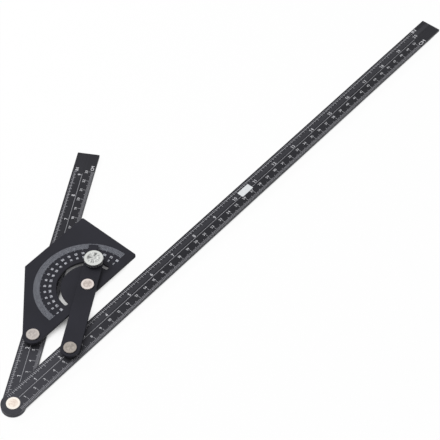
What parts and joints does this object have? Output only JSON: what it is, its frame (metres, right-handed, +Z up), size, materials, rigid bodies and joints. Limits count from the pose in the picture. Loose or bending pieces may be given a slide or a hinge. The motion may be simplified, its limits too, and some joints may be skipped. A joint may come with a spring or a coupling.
{
  "type": "universal bevel protractor",
  "caption": "Folding bevel protractor: long and short graduated blades hinged at one end, with a dial plate and a clamped link arm that show the angle between them.",
  "frame": {"origin": "middle of the main rivet's tail, the lowest face of the tool, on the main hinge axis", "axes": "+X along the long blade towards its tip, +Z up through the stack towards the dial's face, +Y towards the short blade's side"},
  "size_m": [0.5393, 0.1458, 0.0158],
  "materials": {
    "blade": "satin dark anodised with light printed scales",
    "head_sheet": "satin near-black coat",
    "main_rivet": "bright nickel plated",
    "rivet": "satin nickel plated",
    "steel": "plain zinc plated",
    "nylon_white": "moulded",
    "nylon_black": "moulded",
    "knob": "bright turned, knurled rim"
  },
  "bodies": {
    "long_blade": {"long_blade": "blade", "main_rivet": "main_rivet", "main_rivet_burr": "steel", "main_friction_washer": "nylon_white", "link_rivet": "rivet", "link_rivet_burr": "steel", "link_spacer": "nylon_black", "link_friction_washer": "nylon_white"},
    "short_blade": {"short_blade": "blade", "plate_rivet": "rivet", "plate_rivet_burr": "steel", "plate_spacer": "nylon_black", "plate_friction_washer": "nylon_white"},
    "dial_plate": {"protractor_plate": "head_sheet", "dial_rivet": "rivet", "dial_rivet_burr": "steel", "dial_friction_washer": "nylon_white"},
    "link_arm": {"link_arm": "head_sheet", "clamp_bolt": "steel"},
    "clamp_washer": {"clamp_washer": "steel"},
    "clamp_knob": {"clamp_knob": "knob"}
  },
  "joints": [
    {"name": "blade_hinge", "type": "hinge", "parent": "long_blade", "child": "short_blade", "pos_m": [0, 0, 0], "axis": [0, 0, 1], "range_deg": [-16, 134]},
    {"name": "plate_hinge", "type": "hinge", "parent": "short_blade", "child": "dial_plate", "pos_m": [0.051, 0.03064, 0], "axis": [0, 0, 1], "range_deg": [-134, 16]},
    {"name": "link_hinge", "type": "hinge", "parent": "long_blade", "child": "link_arm", "pos_m": [0.0595, 0, 0], "axis": [0, 0, 1], "range_deg": [-16, 134]},
    {"name": "knob_lift", "type": "slide", "parent": "link_arm", "child": "clamp_washer", "axis": [0, 0, 1], "range_m": [0, 0.0005]},
    {"name": "knob_turn", "type": "hinge", "parent": "clamp_washer", "child": "clamp_knob", "pos_m": [0.12996, 0.04234, 0.0112], "axis": [0, 0, 1], "range_deg": [0, 360]}
  ],
  "couplings": [
    {"joint": "plate_hinge", "follows": "blade_hinge", "ratio": -1},
    {"joint": "link_hinge", "follows": "blade_hinge", "ratio": 1},
    {"joint": "knob_turn", "follows": "knob_lift", "rad_per_m": 12566}
  ]
}
